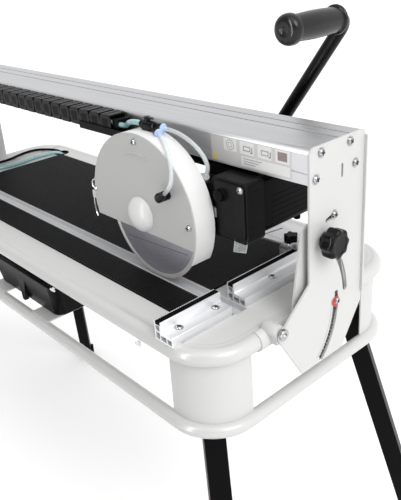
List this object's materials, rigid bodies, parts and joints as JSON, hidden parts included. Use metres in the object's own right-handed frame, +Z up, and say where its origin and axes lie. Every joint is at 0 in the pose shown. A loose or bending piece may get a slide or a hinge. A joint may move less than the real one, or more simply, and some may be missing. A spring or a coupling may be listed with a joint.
{
  "type": "rail wet saw",
  "caption": "Bridge-type wet masonry saw: motor head on a tilting overhead rail above a ribbed cutting table with water tub, on splayed legs.",
  "frame": {"origin": "on the floor, at the centre of the four feet", "axes": "+X along the rail towards the near end, -Y towards the operator, +Z up"},
  "size_m": [1.2978, 0.5804, 1.1325],
  "materials": {
    "powder_coat": "satin light grey powder coat",
    "black_steel": "satin black",
    "aluminium": "satin extrusion",
    "zinc": "zinc plated",
    "chrome": "polished",
    "blade_steel": "ground disc with a pale sintered rim",
    "rubber": "matt ribbed",
    "black_plastic": "matt moulded",
    "hose": "pale blue-green tube",
    "clear_tube": "clear flexible tube",
    "motor_core": "laminations and windings"
  },
  "bodies": {
    "frame": {"upper_tubes": "powder_coat", "lower_tubes": "powder_coat", "corner_panels": "powder_coat", "support_legs": "black_steel", "leg_sockets": "black_steel", "rubber_feet": "rubber", "front_fence": "aluminium", "rear_fence": "aluminium", "fence_rubbers": "rubber", "frame_screws": "zinc", "table_sheet": "powder_coat", "kerf_channel": "aluminium", "front_mat": "rubber", "rear_mat": "rubber", "water_tub": "black_plastic", "tub_straps": "powder_coat", "water_pump": "black_plastic", "pivot_blocks": "powder_coat", "pivot_bolts": "zinc", "fixed_brackets": "powder_coat", "angle_pointers": "zinc", "supply_hose": "hose", "supply_cable": "black_plastic"},
    "rail": {"near_end_plate": "powder_coat", "far_end_plate": "powder_coat", "end_plate_screws": "zinc", "rail_beam": "aluminium", "cable_chain": "black_plastic", "chain_anchor": "black_plastic"},
    "carriage": {"carriage_plate": "black_steel", "trolley_hangers": "aluminium", "chain_shoe": "black_plastic", "head_screws": "zinc", "motor_housing": "black_plastic", "motor_stator": "motor_core", "motor_fan_cover": "black_plastic", "drive_case": "aluminium", "drive_belt": "rubber", "guard_shell": "powder_coat", "guard_cover": "powder_coat", "guard_hub_cap": "powder_coat", "head_hose": "hose", "water_tubes": "clear_tube", "water_fittings": "black_plastic", "handle_bar": "black_steel", "handle_grip": "rubber"},
    "blade": {"diamond_blade": "blade_steel", "blade_clamp": "zinc", "blade_spindle": "zinc", "spindle_pulley": "zinc"},
    "rotor": {"motor_rotor": "motor_core"},
    "near_trolley": {"near_trolley_rollers": "black_plastic"},
    "far_trolley": {"far_trolley_rollers": "black_plastic"},
    "near_knob": {"near_tilt_knob": "black_plastic"},
    "far_knob": {"far_tilt_knob": "black_plastic"},
    "mitre": {"mitre_guide": "aluminium"},
    "mitre_screw": {"mitre_knob": "black_plastic"},
    "switch": {"switch_rocker": "black_plastic"},
    "latch": {"guard_latch": "chrome"},
    "tap": {"tap_lever": "black_plastic"}
  },
  "joints": [
    {"name": "rail_tilt", "type": "hinge", "parent": "frame", "child": "rail", "pos_m": [0, -0.091, 0.76], "axis": [1, 0, 0], "range_deg": [0, 45], "deforming": ["supply_hose", "supply_cable"]},
    {"name": "carriage_slide", "type": "slide", "parent": "rail", "child": "carriage", "axis": [1, 0, 0], "range_m": [-0.59, 0], "deforming": ["cable_chain"]},
    {"name": "blade_spin", "type": "hinge", "parent": "carriage", "child": "blade", "pos_m": [0.288, -0.088, 0.856], "axis": [0, 1, 0], "continuous": true},
    {"name": "motor_spin", "type": "hinge", "parent": "carriage", "child": "rotor", "pos_m": [0.401, -0.031, 0.888], "axis": [0, 1, 0], "continuous": true},
    {"name": "near_trolley_roll", "type": "hinge", "parent": "carriage", "child": "near_trolley", "pos_m": [0.4, 0.02, 0.9588], "axis": [0, 1, 0], "continuous": true},
    {"name": "far_trolley_roll", "type": "hinge", "parent": "carriage", "child": "far_trolley", "pos_m": [0.24, 0.02, 0.9588], "axis": [0, 1, 0], "continuous": true},
    {"name": "near_knob_turn", "type": "hinge", "parent": "frame", "child": "near_knob", "pos_m": [0.54, -0.00945, 0.86252], "axis": [1, 0, 0], "continuous": true},
    {"name": "far_knob_turn", "type": "hinge", "parent": "frame", "child": "far_knob", "pos_m": [-0.54, -0.00945, 0.86252], "axis": [1, 0, 0], "continuous": true},
    {"name": "mitre_slide", "type": "slide", "parent": "frame", "child": "mitre", "axis": [0, 1, 0], "range_m": [-0.12, 0.03]},
    {"name": "mitre_knob_turn", "type": "hinge", "parent": "mitre", "child": "mitre_screw", "pos_m": [0.414, 0.076, 0.795], "axis": [0, 0, 1], "continuous": true},
    {"name": "switch_rock", "type": "hinge", "parent": "carriage", "child": "switch", "pos_m": [0.338, 0.055, 0.886], "axis": [1, 0, 0], "range_deg": [0, 14]},
    {"name": "latch_lever", "type": "hinge", "parent": "carriage", "child": "latch", "pos_m": [0.161, -0.095, 0.864], "axis": [0, 1, 0], "range_deg": [0, 110]},
    {"name": "tap_turn", "type": "hinge", "parent": "carriage", "child": "tap", "pos_m": [0.29, -0.082, 1.002], "axis": [0, 0, 1], "range_deg": [0, 90]}
  ],
  "couplings": [
    {"joint": "motor_spin", "follows": "blade_spin", "ratio": 1.0909},
    {"joint": "near_trolley_roll", "follows": "carriage_slide", "rad_per_m": 71.429},
    {"joint": "far_trolley_roll", "follows": "carriage_slide", "rad_per_m": 71.429}
  ]
}
